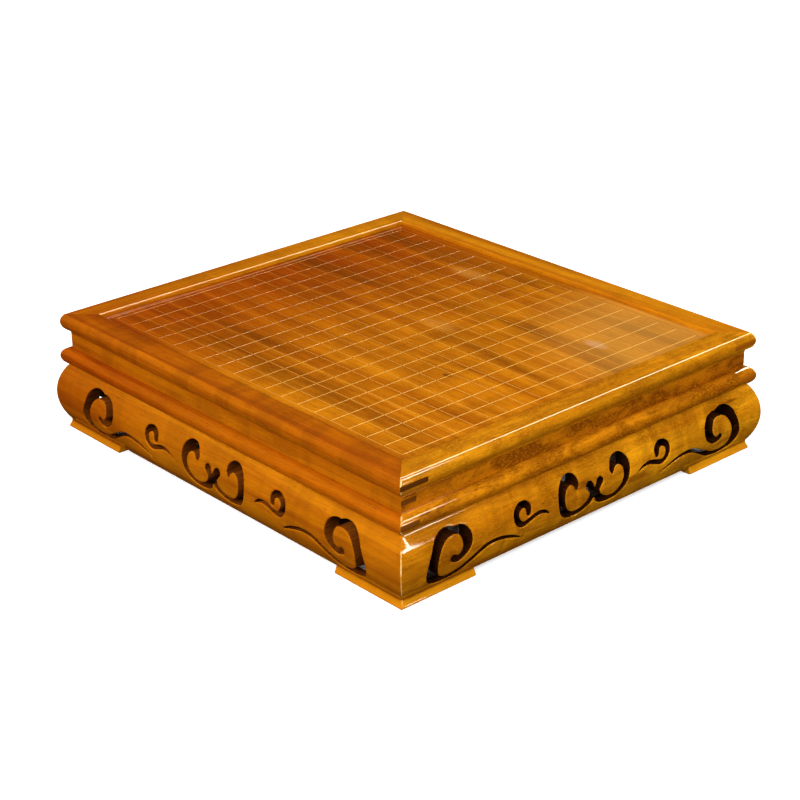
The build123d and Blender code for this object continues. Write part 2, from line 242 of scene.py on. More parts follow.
# Bright cards that only the lacquer mirrors: on the rim's round edge, by the front corner's
# bulge, and on the left rim's inner edge.
for card in (
        soft_light("back_card", (-0.25, 1.20, 1.50), (-0.25, 1.05, 0), (0.8, 1.3), 85,
                   (1.0, 0.90, 0.62)),
        soft_light("tall_card", (1.78, 0.88, 0.68), (0.25, -0.22, 0.05), (0.06, 0.85), 4.5,
                   (1.0, 0.97, 0.88)),
        soft_light("left_card", (1.78, 1.29, 1.55), (-0.22, -0.17, 0.12), (0.25, 0.25), 6,
                   (1.0, 0.95, 0.80))):
    card.visible_diffuse = False

# The room: pale light from above and a white backdrop, and in the lacquer only a dim warm
# ceiling with a glow on the left.
world = bpy.data.worlds.new("studio")
world.use_nodes = True
room = Shading(world.node_tree)
looking = room.node("ShaderNodeTexCoord", output="Generated")
upward = room.node("ShaderNodeSeparateXYZ", {0: looking}, "Z")
to_left = room.node("ShaderNodeVectorMath", {0: looking, 1: (-0.76, -0.46, 0.46)}, "Value",
                    operation="DOT_PRODUCT")
in_lacquer = room.node("ShaderNodeLightPath", output="Is Glossy Ray")
in_view = room.node("ShaderNodeLightPath", output="Is Camera Ray")
daylight = room.mix(upward.step(-0.1, 0.5), (0.06, 0.06, 0.06), (0.18, 0.18, 0.18))
ceiling = room.mix(upward.step(0.05, 0.9), (0.010, 0.007, 0.003), (0.10, 0.07, 0.03))
mirrored = room.mix(to_left.step(0.72, 1.0), ceiling, (1.3, 0.62, 0.04))
backdrop = room.mix(in_view, room.mix(in_lacquer, daylight, mirrored), (0.92, 0.92, 0.92))
world.node_tree.links.new(backdrop.socket, world.node_tree.nodes["Background"].inputs["Color"])
bpy.context.scene.world = world


# ---- finishes ----

def tone(depth):
    """Pale, middle and dark wood under amber lacquer, from golden (0) to deep amber (1)."""
    return [tuple(a + (b - a) * depth for a, b in zip(golden, amber)) for golden, amber in (
        ((0.86, 0.35, 0.007), (0.47, 0.105, 0.001)), ((0.62, 0.205, 0.003), (0.32, 0.056, 0.001)),
        ((0.20, 0.048, 0.001), (0.085, 0.012, 0.001)))]


def clouded(finish, colour, mottle, along, shift, pale, dark):
    """A colour under dark clouds with pale flecks, and the flecks by themselves."""
    clouds = finish.grain(along, 20.0, 55.0, shift, 4.0, 0.65, 0.5)
    flecks = finish.grain(along, 330.0, 700.0, shift, 3.0, 0.7, 0.4)
    pale_flecks = flecks.step(0.52, 0.64) * clouds.step(0.34, 0.62)
    colour = finish.mix(clouds.step(0.38, 0.60) * (mottle * 0.75), colour, dark)
    colour = finish.mix(pale_flecks * (mottle * 0.65), colour, pale)
    colour = finish.mix((1 - flecks.step(0.34, 0.46)) * (mottle * 0.5), colour, dark)
    return colour, flecks


def painted_foot_highlight(finish, colour, wear_and_highlight, dark):
    """A colour with a painted highlight on the feet's moulding, and a painted shade line above it."""
    height = finish.along(2)
    line = height.step(0.0074, 0.0084) * (1 - height.step(0.0090, 0.0104))
    colour = finish.mix((1 - height.step(0.0055, 0.0082)) * 0.45, colour, wear_and_highlight)
    return finish.mix(line * 0.7, colour, dark)


def lacquered_wood(name, along, depth, mottle=0.0, figure=0.0, streak=0.4, shift=(0, 0, 0),
                   shade_ramp=None, foot_highlight=False, marks_and_sheen=()):
    """Wood with its grain along X (0) or Y (1) under clear high-gloss lacquer.

    mottle adds dark clouds with pale flecks, and figure adds ripples across the grain. The ramp
    is painted shade: the depth that the colour reaches at the far end of it: (depth, axis, from,
    to). On an apron the feet's moulding gets a painted highlight with a painted shade line above
    it. The spots are the wood's own spots, and on the board also a painted sheen: (centre, radii,
    strength, colour).
    """
    finish = Finish(name)
    pale, middle, dark = tone(depth)
    drift = finish.grain(along, 3.4, 24.0, shift, 3.0, 0.55)
    bands = finish.grain(along, 2.2, 48.0, shift, 4.0, 0.55, 0.9)
    fibre = finish.grain(along, 26.0, 900.0, shift, 4.0, 0.62)
    pores = finish.grain(along, 120.0, 1500.0, shift, 2.0, 0.6)
    # Painted shade: the colour deepens along a ramp towards one end.
    if shade_ramp:
        far_depth, axis, start, end = shade_ramp
        far_pale, far_middle, _ = tone(far_depth)
        ramp = (finish.along(axis) + drift * 0.12).step(start + 0.06, end + 0.06)
        pale, middle = finish.mix(ramp, pale, far_pale), finish.mix(ramp, middle, far_middle)

    colour = finish.mix(bands.step(0.36, 0.66), pale, middle)
    colour = finish.mix(drift.step(0.48, 0.75) * streak, colour, dark)
    colour = finish.mix((1 - fibre.step(0.30, 0.62)) * 0.30, colour, dark)
    relief = fibre * 0.5 + pores.step(0.58, 0.74) * -0.7
    if figure:
        ripple = finish.grain(along, 34.0, 7.0, shift, 3.0, 0.5, 0.7)
        colour = finish.mix(ripple.step(0.42, 0.62) * figure, colour, dark)
    if mottle:
        colour, flecks = clouded(finish, colour, mottle, along, shift, pale, dark)
        relief = relief + flecks * (0.5 * mottle)
    colour = finish.mix(pores.step(0.60, 0.72) * 0.55, colour, tuple(c * 0.35 for c in dark))
    # Painted highlight on the feet's moulding, with a painted shade line above it.
    if foot_highlight:
        colour = painted_foot_highlight(finish, colour, tone(max(depth - 0.3, 0))[0], dark)
    # Spots of the wood's own colour, and on the board a painted sheen.
    for centre, radii, strength, mark_colour in marks_and_sheen:
        colour = finish.mix(finish.spot(centre, radii) * strength, colour, mark_colour)

    grain = finish.node("ShaderNodeBump", {"Strength": 0.10, "Distance": 0.0004, "Height": relief})
    finish.set(Base_Color=colour, Normal=grain, Roughness=0.34 + fibre * 0.12)
    finish.coat(0.05)
    return finish


def raw_wood(name, along, pale, dark, shift=(0, 0, 0)):
    """Plain planed wood without lacquer, for what is inside."""
    finish = Finish(name)
    bands = finish.grain(along, 2.0, 55.0, shift, 4.0, 0.6, 0.8)
    fibre = finish.grain(along, 30.0, 950.0, shift, 4.0, 0.65)
    colour = finish.mix(bands.step(0.35, 0.68), pale, dark)
    colour = finish.mix((1 - fibre.step(0.32, 0.62)) * 0.35, colour, tuple(c * 0.5 for c in dark))
    grain = finish.node("ShaderNodeBump", {"Strength": 0.25, "Distance": 0.0005, "Height": fibre})
    finish.set(Base_Color=colour, Normal=grain, Roughness=0.62 + fibre * 0.2, Specular_IOR_Level=0.15)
    return finish


# Each rail's and apron's depth, mottle, figure and streak, and the depth that it reaches
# towards its far end. The depths hold painted light and shade as well as the wood's tone:
# each piece is set as pale or deep as it looks where it is lit or shaded, and the ramp to
# the far end is painted shade.
LACQUER = {
    ("rim", "front"): (0.90, 0.1, 0.25, 0.3, (1.0, 0, 0.0, -0.25)),
    ("rim", "back"): (0.40, 0.1, 0.1, 0.4, None),
    ("rim", "right"): (0.12, 0.65, 0.2, 0.5, (0.0, 1, -0.05, 0.15)),
    ("rim", "left"): (0.36, 0.1, 0.2, 0.4, (0.85, 1, 0.0, -0.22)),
    ("waist_board", "front"): (0.75, 0.1, 0.2, 0.3, (0.9, 0, 0.05, -0.25)),
    ("waist_board", "back"): (0.70, 0.1, 0.1, 0.4, None),
    ("waist_board", "right"): (0.66, 1.0, 0.1, 0.5, None),
    ("waist_board", "left"): (0.70, 0.6, 0.1, 0.4, None),
    ("bead_rail", "front"): (0.98, 0.1, 0.1, 0.4, (1.15, 0, 0.05, -0.25)),
    ("bead_rail", "back"): (0.80, 0.1, 0.1, 0.4, None),
    ("bead_rail", "right"): (0.50, 0.9, 0.1, 0.5, None),
    ("bead_rail", "left"): (0.80, 0.5, 0.1, 0.4, None),
    ("apron", "front"): (0.70, 0.05, 0.2, 0.2, (0.95, 0, -0.08, -0.27)),
    ("apron", "back"): (0.65, 0.1, 0.2, 0.3, None),
    ("apron", "right"): (0.22, 0.60, 0.40, 0.4, (-0.1, 1, -0.08, 0.10)),
    ("apron", "left"): (0.55, 0.4, 0.3, 0.4, None)}
# Spots in the wood, in metres: centre, radii, strength and colour. On the board the first, broad pale spot is
# a painted sheen.
RIGHT_APRON_KNOTS = [((0.26, -0.018, 0.047), (0.03, 0.014, 0.005), 0.6, (0.12, 0.020, 0.001)),
                     ((0.26, 0.058, 0.030), (0.03, 0.020, 0.006), 0.5, (0.14, 0.026, 0.001)),
                     ((0.26, 0.196, 0.062), (0.03, 0.012, 0.002), 0.6, (0.12, 0.020, 0.001))]
# Painted sheen: the first spot, pale over the back right of the board.
BOARD_MARKS_AND_SHEEN = [((0.22, 0.20, 0.119), (0.20, 0.20, 0.2), 0.30, (0.72, 0.40, 0.08)),
               ((0.160, 0.105, 0.119), (0.018, 0.009, 0.02), 0.45, (0.62, 0.36, 0.20)),
               ((0.116, -0.049, 0.119), (0.007, 0.004, 0.02), 0.7, (0.10, 0.018, 0.002)),
               ((0.020, 0.030, 0.119), (0.030, 0.012, 0.02), 0.25, (0.62, 0.30, 0.06)),
               ((-0.060, 0.150, 0.119), (0.035, 0.014, 0.02), 0.30, (0.62, 0.30, 0.06))]

lacquer = {}
for number, ((part, side), (depth, mottle, figure, streak, shade_ramp)) in enumerate(LACQUER.items()):
    lacquer[part, side] = lacquered_wood(
        f"amber_{part}_{side}", 0 if side in LONG_SIDES else 1, depth, mottle, figure, streak,
        shift=(0.37 * number % 1.0, 0.61 * number % 1.0, 0.23 * number % 1.0), shade_ramp=shade_ramp,
        foot_highlight=part == "apron", marks_and_sheen=RIGHT_APRON_KNOTS if (part, side) == ("apron", "right") else ())
# The board deepens towards the left: painted shade.
panel_lacquer = lacquered_wood(
    "board_lacquer", 0, depth=0.56, mottle=0.28, figure=0.15, streak=0.75, shift=(0.5, 0.4, 0.1),
    shade_ramp=(1.12, 0, 0.08, -0.24), marks_and_sheen=BOARD_MARKS_AND_SHEEN)

# A painted highlight: a pale line on the arrises at the mitres of the short sides.
arris_highlight = Finish("arris_highlight")
arris_highlight_noise = arris_highlight.noise(arris_highlight.place((90.0, 90.0, 90.0)), 3.0, 0.6)
arris_colour = arris_highlight.mix(arris_highlight_noise.step(0.35, 0.65), (0.95, 0.62, 0.22), (0.62, 0.25, 0.02))
arris_highlight.set(Base_Color=arris_colour, Roughness=0.3 + arris_highlight_noise * 0.1)
arris_highlight.coat(0.05)

# Dark wood for the case and battens, its darkness painted shade for the inside of the stand, and paler planed
# wood for the drawer boxes.
INSIDE_SHADE = (0.12, 0.050, 0.018), (0.075, 0.028, 0.010)
PLANED = (0.42, 0.21, 0.080), (0.27, 0.115, 0.036)
case_long = raw_wood("case_wood_long", 0, *INSIDE_SHADE)
case_deep = raw_wood("case_wood_deep", 1, *INSIDE_SHADE, (0.2, 0.3, 0.1))
box_long = raw_wood("drawer_wood_long", 0, *PLANED, (0.6, 0.1, 0.4))
box_deep = raw_wood("drawer_wood_deep", 1, *PLANED, (0.1, 0.7, 0.3))

# End grain takes the stain darkly. It is darkest on the rim and towards the front, and paler below the rim
# and towards the back.
end_grain = Finish("end_grain")
end_rings = end_grain.noise(end_grain.place((500.0, 700.0, 1600.0)), 3.0, 0.6)
below_rim = 1 - end_grain.along(2).step(0.088, 0.108) * 0.6
towards_back = end_grain.along(1).step(-0.05, 0.05)
end_colour = end_grain.mix(end_rings, (0.060, 0.017, 0.004), (0.020, 0.005, 0.001))
end_colour = end_grain.mix(below_rim * 0.45, end_colour, (0.30, 0.09, 0.006))
end_colour = end_grain.mix(towards_back * 0.8, end_colour, (0.36, 0.10, 0.003))
end_grain.set(Base_Color=end_colour, Roughness=0.35 + end_rings * 0.2)
end_grain.coat(0.06)


def sawn_wood(name, pale, dark):
    """A dark stain with painted shade in it, for the walls of the carving and the boards' inner faces."""
    finish = Finish(name)
    fibre = finish.noise(finish.place((60.0, 60.0, 900.0)), 4.0, 0.6)
    relief = finish.node("ShaderNodeBump", {"Strength": 0.2, "Distance": 0.0004, "Height": fibre})
    finish.set(Base_Color=finish.mix(fibre.step(0.3, 0.7), pale, dark), Normal=relief,
               Roughness=0.5 + fibre * 0.2)
    finish.coat(0.10, weight=0.9)
    return finish


# The long sides' walls are paler as painted light, the short sides' nearly black as painted shade.
sawn_long = sawn_wood("carving_stain_lit_long", (0.17, 0.042, 0.003), (0.075, 0.017, 0.002))
sawn_short = sawn_wood("carving_stain_shaded_short", (0.036, 0.009, 0.0015), (0.018, 0.0045, 0.001))


def painted_line(name, pale, wear_and_highlight, faint):
    """Thin paint of the board's lines, that fades to the lacquer's colour on the left."""
    finish = Finish(name)
    wear = finish.noise(finish.place((160.0, 160.0, 160.0)), 4.0, 0.7)
    fade = 1 - (finish.along(0) + wear * 0.1).step(-0.12, 0.16)
    colour = finish.mix(wear.step(0.35, 0.70) * 0.6, pale, wear_and_highlight)
    colour = finish.mix(fade * faint, colour, (0.36, 0.10, 0.005))
    finish.set(Base_Color=colour, Roughness=0.45 + wear * 0.2)
    finish.coat(0.08)
    return finish


across_paint = painted_line("line_paint_across", (0.95, 0.58, 0.15), (0.70, 0.34, 0.05), 0.85)
along_paint = painted_line("line_paint_along", (0.66, 0.30, 0.05), (0.48, 0.17, 0.01), 0.75)


# ---- meshes ----

# A piece's finishes, in order: its lacquer, its cut wood (end grain or sawn) and the painted highlight on its
# arris.
LACQUERED, CUT, ARRIS = 0, 1, 2


def make_piece(name, points, faces, finishes, face_finish=None, crease=38.0):
    """A piece with smooth faces, whose edges over the crease angle stay crisp. Points are in mm."""
    mesh = bpy.data.meshes.new(name)
    mesh.from_pydata([tuple(float(c) * MM for c in p) for p in points], [], [tuple(f) for f in faces])
    for finish in finishes:
        mesh.materials.append(finish.material)
    if face_finish is not None:
        mesh.polygons.foreach_set("material_index", face_finish)
    mesh.polygons.foreach_set("use_smooth", [True] * len(mesh.polygons))
    mesh.set_sharp_from_angle(angle=math.radians(crease))
    mesh.validate()
    mesh.update()
    piece = bpy.data.objects.new(name, mesh)
    bpy.context.scene.collection.objects.link(piece)
    return piece


def on_side(side, along, out, up):
    """Points of a side from distances along it, outward from the rim's top edge, and up."""
    outward, run, reach, _ = SIDES[side]
    along, out, up = np.broadcast_arrays(*(np.asarray(v, float) for v in (along, out, up)))
    return np.stack([outward[0] * (reach + out) + run[0] * along,
                     outward[1] * (reach + out) + run[1] * along, up], axis=-1)


def circle_through(a, b, c):
    """Centre and radius of the circle through three points."""
    a, b, c = (np.array(p, float) for p in (a, b, c))
    centre = np.linalg.solve(2 * np.array([b - a, c - a]), [b @ b - a @ a, c @ c - a @ a])
    return centre, float(np.linalg.norm(a - centre))


def arc(start, middle, end, count=14):
    """Points along the arc from start to end through middle."""
    centre, radius = circle_through(start, middle, end)
    first, through, last = (math.atan2(p[1] - centre[1], p[0] - centre[0]) for p in (start, middle, end))
    turn = (last - first) % math.tau
    if (through - first) % math.tau > turn:
        turn -= math.tau
    return [(centre[0] + radius * math.cos(first + turn * i / count),
             centre[1] + radius * math.sin(first + turn * i / count)) for i in range(count + 1)]


def trimmed(points, start, end):
    """A polyline cut back by a length at each of its ends."""
    points = np.array(points, float)
    lengths = np.concatenate([[0], np.cumsum(np.linalg.norm(np.diff(points, axis=0), axis=1))])
    low, high = start, lengths[-1] - end
    inner = (lengths > low + 1e-6) & (lengths < high - 1e-6)
    at = np.concatenate([[low], lengths[inner], [high]])
    return np.stack([np.interp(at, lengths, points[:, 0]), np.interp(at, lengths, points[:, 1])], axis=1)


def softened(runs, radii):
    """A closed section from runs of points, each corner between two runs rounded by its radius."""
    cut = [trimmed(run, radii[i - 1], radii[i]) for i, run in enumerate(runs)]
    outline = []
    for i, run in enumerate(cut):
        outline.extend(map(tuple, run))
        corner, after = np.array(runs[i][-1], float), cut[(i + 1) % len(cut)][0]
        for t in (0.25, 0.5, 0.75):
            outline.append(tuple((1 - t) ** 2 * run[-1] + 2 * t * (1 - t) * corner + t * t * after))
    return np.array(outline)


def moulding(name, side, section, finish, inner=0.0, tongue=None):
    """A rail of one side: its section swept between two mitres.

    inner is the depth of the rail behind the rim's top edge, and tongue is the band of end
    grain that shows at both ends.
    """
    half_run = SIDES[side][3]
    out, up = section[:, 0], section[:, 1]
    turns = np.radians([45.0, 33.0, 22.0, 11.0, 0.0])
    corner = [(half_run + out - CORNER_ROUND * (1 - math.sin(turn)) - JOINT_GAP,
               out - CORNER_ROUND * (1 - math.cos(turn))) for turn in turns]
    corner.append((corner[-1][0] - 0.8, out))
    stations = [(-at, reach) for at, reach in corner] + [(at, reach) for at, reach in reversed(corner)]
    middle_span = len(corner) - 1
    arris_spans = set()
    if tongue:
        start = np.full(len(out), half_run - inner - CORNER_ROUND - 1.4)
        stations[len(corner):len(corner)] = [(-start, out), (start, out)]
        middle_span += 1
        # On the short rails, the faces by the mitres take the painted arris highlight.
        arris_spans = {*range(len(corner) - 1), *range(len(stations) - len(corner), len(stations) - 1)}

    def kind(span, i, j):
        """Finish of the face between two of the section's points."""
        middle = (up[i] + up[j]) / 2
        if tongue and span != middle_span and tongue[0] < middle < tongue[1] and out[i] > 1 - inner:
            return CUT
        outer_face = out[i] > -5 and out[j] > -1.5 and middle < RIM_TOP - 0.5
        return ARRIS if span in arris_spans and outer_face else LACQUERED

    points = np.concatenate([on_side(side, at, reach, up) for at, reach in stations])
    count = len(out)
    faces, kinds = [], []
    for span in range(len(stations) - 1):
        start = span * count
        for i in range(count):
            j = (i + 1) % count
            faces.append((start + i, start + count + i, start + count + j, start + j))
            kinds.append(kind(span, i, j))
    faces.append(tuple(range(count)))
    faces.append(tuple(reversed(range((len(stations) - 1) * count, len(stations) * count))))
    kinds += [LACQUERED, LACQUERED]
    return make_piece(name, points, faces, [finish, end_grain, arris_highlight], kinds)


def with_levels(section, levels):
    """A section with extra points where it crosses the given heights."""
    points = []
    for (a, b) in zip(section, np.roll(section, -1, axis=0)):
        points.append(a)
        crossings = [level for level in levels if (a[1] - level) * (b[1] - level) < 0]
        for level in sorted(crossings, key=lambda v: abs(v - a[1])):
            points.append(a + (b - a) * (level - a[1]) / (b[1] - a[1]))
    return np.array(points)


# Sections as (outward from the rim's top edge, up), from the foot of the outer face round.
RIM_DEPTH = 25.5
WAIST_DEPTH = 18.6
BEAD_DEPTH = 14.4
WAIST_FACE = -3.6
BEAD_FACE = -2.4
cove_top = (1.2, WAIST_TOP + 5.6)
rim_outline = softened(
    [arc((WAIST_FACE, WAIST_TOP), (-2.88, WAIST_TOP + 3.04), cove_top),
     arc(cove_top, (3.8, RIM_TOP - 8.5), (0, RIM_TOP), 22),
     [(0, RIM_TOP), (-RIM_DEPTH, RIM_TOP)],
     [(-RIM_DEPTH, RIM_TOP), (-RIM_DEPTH, WAIST_TOP)],
     [(-RIM_DEPTH, WAIST_TOP), (WAIST_FACE, WAIST_TOP)]], [0.5, 0.9, 2.2, 0.3, 0.3])
waist_outline = softened(
    [[(-WAIST_DEPTH, BEAD_TOP), (WAIST_FACE, BEAD_TOP)],
     [(WAIST_FACE, BEAD_TOP), (WAIST_FACE, WAIST_TOP)],
     [(WAIST_FACE, WAIST_TOP), (-WAIST_DEPTH, WAIST_TOP)],
     [(-WAIST_DEPTH, WAIST_TOP), (-WAIST_DEPTH, BEAD_TOP)]], [0.3, 0.3, 0.3, 0.3])
bead_outline = softened(
    [[(-BEAD_DEPTH, APRON_TOP), (BEAD_FACE, APRON_TOP)],
     arc((BEAD_FACE, APRON_TOP), (5.6, (APRON_TOP + BEAD_TOP) / 2), (BEAD_FACE, BEAD_TOP), 30),
     [(BEAD_FACE, BEAD_TOP), (-BEAD_DEPTH, BEAD_TOP)],
     [(-BEAD_DEPTH, BEAD_TOP), (-BEAD_DEPTH, APRON_TOP)]], [0.5, 0.5, 0.3, 0.3])

for part, outline, depth, tongue_middle in (("rim", rim_outline, RIM_DEPTH, RIM_TOP - 8.4),
                                            ("waist_board", waist_outline, WAIST_DEPTH, WAIST_TOP - 5.9),
                                            ("bead_rail", bead_outline, BEAD_DEPTH, BEAD_TOP - 8.5)):
    band = (tongue_middle - TONGUE_HEIGHT / 2, tongue_middle + TONGUE_HEIGHT / 2)
    for side in SIDES:
        name, finish = f"{part}_{side}_moulding", lacquer[part, side]
        if side in LONG_SIDES:
            piece = moulding(name, side, outline, finish)
        else:
            piece = moulding(name, side, with_levels(outline, band), finish, depth, band)
        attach(piece, "board")
        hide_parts(f"{part}_{side}")


# ---- pierced aprons ----

# Stations of each stroke: along, up from the middle of the face, and width.
CORNER_CURL = [(-3.5, -6.0, 7.0), (-9.5, -8.0, 7.0), (-15.5, -4.8, 8.0), (-19.7, 0.5, 10.5),
               (-20.5, 7.0, 12.0), (-18.5, 13.5, 11.0), (-13.5, 17.6, 8.0), (-7.0, 18.8, 6.0)]
CORNER_ARCH = [(-9.0, 18.3, 5.5), (-1.0, 19.6, 8.5), (7.0, 17.8, 10.5), (13.0, 12.5, 11.0),
               (17.0, 5.0, 10.5), (19.8, -3.0, 11.5), (20.6, -11.0, 13.5), (18.0, -18.0, 12.0),
               (12.0, -22.5, 8.0), (4.0, -24.6, 6.0), (-6.0, -24.2, 6.0), (-16.0, -21.4, 5.8),
               (-29.0, -14.5, 5.2), (-41.0, -8.6, 4.5)]
CORNER_TAIL = [(-50.0, -6.8, 4.0), (-60.0, -7.3, 3.7), (-70.0, -9.7, 3.3), (-79.0, -13.0, 2.4),
               (-87.0, -17.0, 0.8)]
SHORT_TAIL = [(-47.0, -7.4, 3.4), (-53.0, -7.4, 0.8)]
SMALL_SCROLL = [(-7.5, 5.5, 6.0), (-7.5, 11.0, 7.0), (-3.6, 14.6, 6.2), (2.2, 14.2, 6.6),
                (6.8, 10.3, 6.6), (7.2, 4.0, 6.6), (3.6, -1.6, 6.0), (-2.0, -3.7, 5.4),
                (-16.0, 0.4, 4.4), (-23.0, 0.7, 3.6), (-29.0, -1.0, 2.6), (-34.0, -4.6, 0.8)]
RUYI_HALF = [(6.8, 4.8, 9.4), (3.4, -1.0, 7.2), (3.4, -6.5, 7.4), (7.0, -12.4, 8.0),
             (15.0, -17.0, 7.0), (25.0, -18.4, 6.4), (34.0, -15.6, 7.4), (40.8, -8.0, 8.2),
             (43.2, 2.0, 8.6), (41.4, 12.0, 9.8), (35.0, 17.8, 10.8), (27.8, 17.6, 9.6),
             (23.8, 12.0, 6.6), (24.0, 7.0, 2.0)]
MIDDLE_HEIGHT = (FOOT_GAP + APRON_TOP) / 2
SMALL_SCROLL_SHARE = 0.515  # small scroll's place between the middle and the corner scroll

# The rim's corner in to the corner scroll's middle, and the tail of that scroll.
CARVINGS = {"front": (63.0, CORNER_TAIL), "right": (48.0, CORNER_TAIL),
            "left": (48.0, CORNER_TAIL), "back": (63.0, SHORT_TAIL)}

FOOT_NECK = (0.8, 8.2)  # where the bulge meets the foot's flare
TOE = (3.4, 1.2)  # upper edge of the foot's flat toe
bulge_centre, bulge_radius = circle_through((-0.4, APRON_TOP), (10.4, 38.09), FOOT_NECK)
flare_centre, flare_radius = circle_through(FOOT_NECK, (1.6, 4.7), TOE)


def bulge(up):
    """How far the apron's face stands out at a height."""
    up = np.asarray(up, float)
    face = bulge_centre[0] + np.sqrt(np.maximum(bulge_radius ** 2 - (up - bulge_centre[1]) ** 2, 0))
    flare = flare_centre[0] - np.sqrt(np.maximum(flare_radius ** 2 - (up - flare_centre[1]) ** 2, 0))
    return np.where(up > FOOT_NECK[1], face, np.where(up > TOE[1], flare, TOE[0]))


def smooth_stations(stations, step=0.5):
    """A stroke's stations joined by a smooth curve and sampled densely."""
    stations = np.array(stations, float)
    padded = np.vstack([2 * stations[0] - stations[1], stations, 2 * stations[-1] - stations[-2]])
    samples = []
    for a, b, c, d in zip(padded, padded[1:], padded[2:], padded[3:]):
        count = max(2, int(np.hypot(*(c - b)[:2]) / step))
        t = np.linspace(0, 1, count, endpoint=False)[:, None]
        samples.append(0.5 * (2 * b + (c - a) * t + (2 * a - 5 * b + 4 * c - d) * t ** 2
                              + (3 * b - a - 3 * c + d) * t ** 3))
    return np.vstack(samples + [stations[-1:]])


def carving_samples(side):
    """Discs of (along, up, radius) whose union is the pierced pattern of a side."""
    margin, tail = CARVINGS[side]
    corner = SIDES[side][3] - margin
    half = np.vstack([smooth_stations(stroke) + np.array([place, MIDDLE_HEIGHT, 0]) for stroke, place in
                      ((CORNER_CURL, corner), (CORNER_ARCH + tail, corner),
                       (SMALL_SCROLL, corner * SMALL_SCROLL_SHARE), (RUYI_HALF, 0.0))])
    half[:, 2] /= 2
    return np.vstack([half, half * np.array([-1, 1, 1])])


def carving_distance(discs, along, up):
    """Distance to the edge of the pattern: over 0 in the wood, under 0 in an opening.

    It holds near the openings. Each chunk of points looks only at the discs within 26 mm.
    """
    along, up = np.asarray(along, float).ravel(), np.asarray(up, float).ravel()
    nearest = np.full(len(along), 1e9)
    order = np.argsort(along, kind="stable")
    for chunk in np.array_split(order, max(1, len(order) // 1500)):
        low, high = along[chunk].min() - 26, along[chunk].max() + 26
        near = discs[(discs[:, 0] > low) & (discs[:, 0] < high)]
        if len(near):
            gaps = np.hypot(along[chunk, None] - near[:, 0], up[chunk, None] - near[:, 1]) - near[:, 2]
            nearest[chunk] = gaps.min(axis=1)
    return nearest


def traced_loops(discs, limit, step=0.55):
    """Closed outlines of the pattern's openings, found by walking the zero level of its distance."""
    columns = np.arange(-limit, limit + step, step)
    rows = np.arange(FOOT_GAP - 2, APRON_TOP, step)
    distances = carving_distance(discs, *np.meshgrid(columns, rows, indexing="ij"))
    field = distances.reshape(len(columns), len(rows))
    inside = field < 0
    crossed = inside[:-1, :-1].astype(int) + inside[1:, :-1] + inside[:-1, 1:] + inside[1:, 1:]
    points, links = {}, {}

    def crossing(a, b):
        key = (a, b) if a < b else (b, a)
        if key not in points:
            va, vb = field[a], field[b]
            t = va / (va - vb)
            points[key] = (columns[a[0]] + (columns[b[0]] - columns[a[0]]) * t,
                           rows[a[1]] + (rows[b[1]] - rows[a[1]]) * t)
        return key

    for i, j in np.argwhere((crossed > 0) & (crossed < 4)):
        i, j = int(i), int(j)
        corners = [(i, j), (i + 1, j), (i + 1, j + 1), (i, j + 1)]
        ring = [(corners[k], corners[(k + 1) % 4]) for k in range(4)]
        cuts = [crossing(a, b) for a, b in ring if inside[a] != inside[b]]
        for a, b in zip(cuts[::2], cuts[1::2]):
            links.setdefault(a, []).append(b)
            links.setdefault(b, []).append(a)

    loops, seen = [], set()
    for start in sorted(links):
        if start in seen:
            continue
        loop, here = [], start
        while here is not None:
            seen.add(here)
            loop.append(points[here])
            here = next((n for n in links[here] if n not in seen), None)
        if len(loop) > 12:
            loops.append(np.array(loop))
    return loops


def resampled(loop, spacing):
    """A closed loop with evenly spaced points, lightly smoothed."""
    closed = np.vstack([loop, loop[:1]])
    lengths = np.concatenate([[0], np.cumsum(np.linalg.norm(np.diff(closed, axis=0), axis=1))])
    count = max(8, int(round(lengths[-1] / spacing)))
    at = np.linspace(0, lengths[-1], count, endpoint=False)
    even = np.stack([np.interp(at, lengths, closed[:, k]) for k in (0, 1)], axis=1)
    return 0.5 * even + 0.25 * (np.roll(even, 1, axis=0) + np.roll(even, -1, axis=0))


def inside_loop(points, loop):
    """Which points lie inside a closed loop."""
    a, b = loop, np.roll(loop, -1, axis=0)
    x, y = points[:, 0:1], points[:, 1:2]
    straddles = (a[:, 1] > y) != (b[:, 1] > y)
    with np.errstate(divide="ignore", invalid="ignore"):
        at = a[:, 0] + (y - a[:, 1]) * (b[:, 0] - a[:, 0]) / (b[:, 1] - a[:, 1])
    return (straddles & (x < at)).sum(axis=1) % 2 == 1


def even_line(start, end, spacing):
    """Points from start up to, and without, end."""
    start, end = np.array(start, float), np.array(end, float)
    count = max(1, int(math.ceil(np.linalg.norm(end - start) / spacing)))
    return [start + (end - start) * i / count for i in range(count)]


def mitre_reach(half_run, up):
    """How far along its side an apron's rounded corner reaches at a height."""
    return half_run + bulge(up) - CORNER_ROUND * (1 - math.sqrt(0.5)) - JOINT_GAP


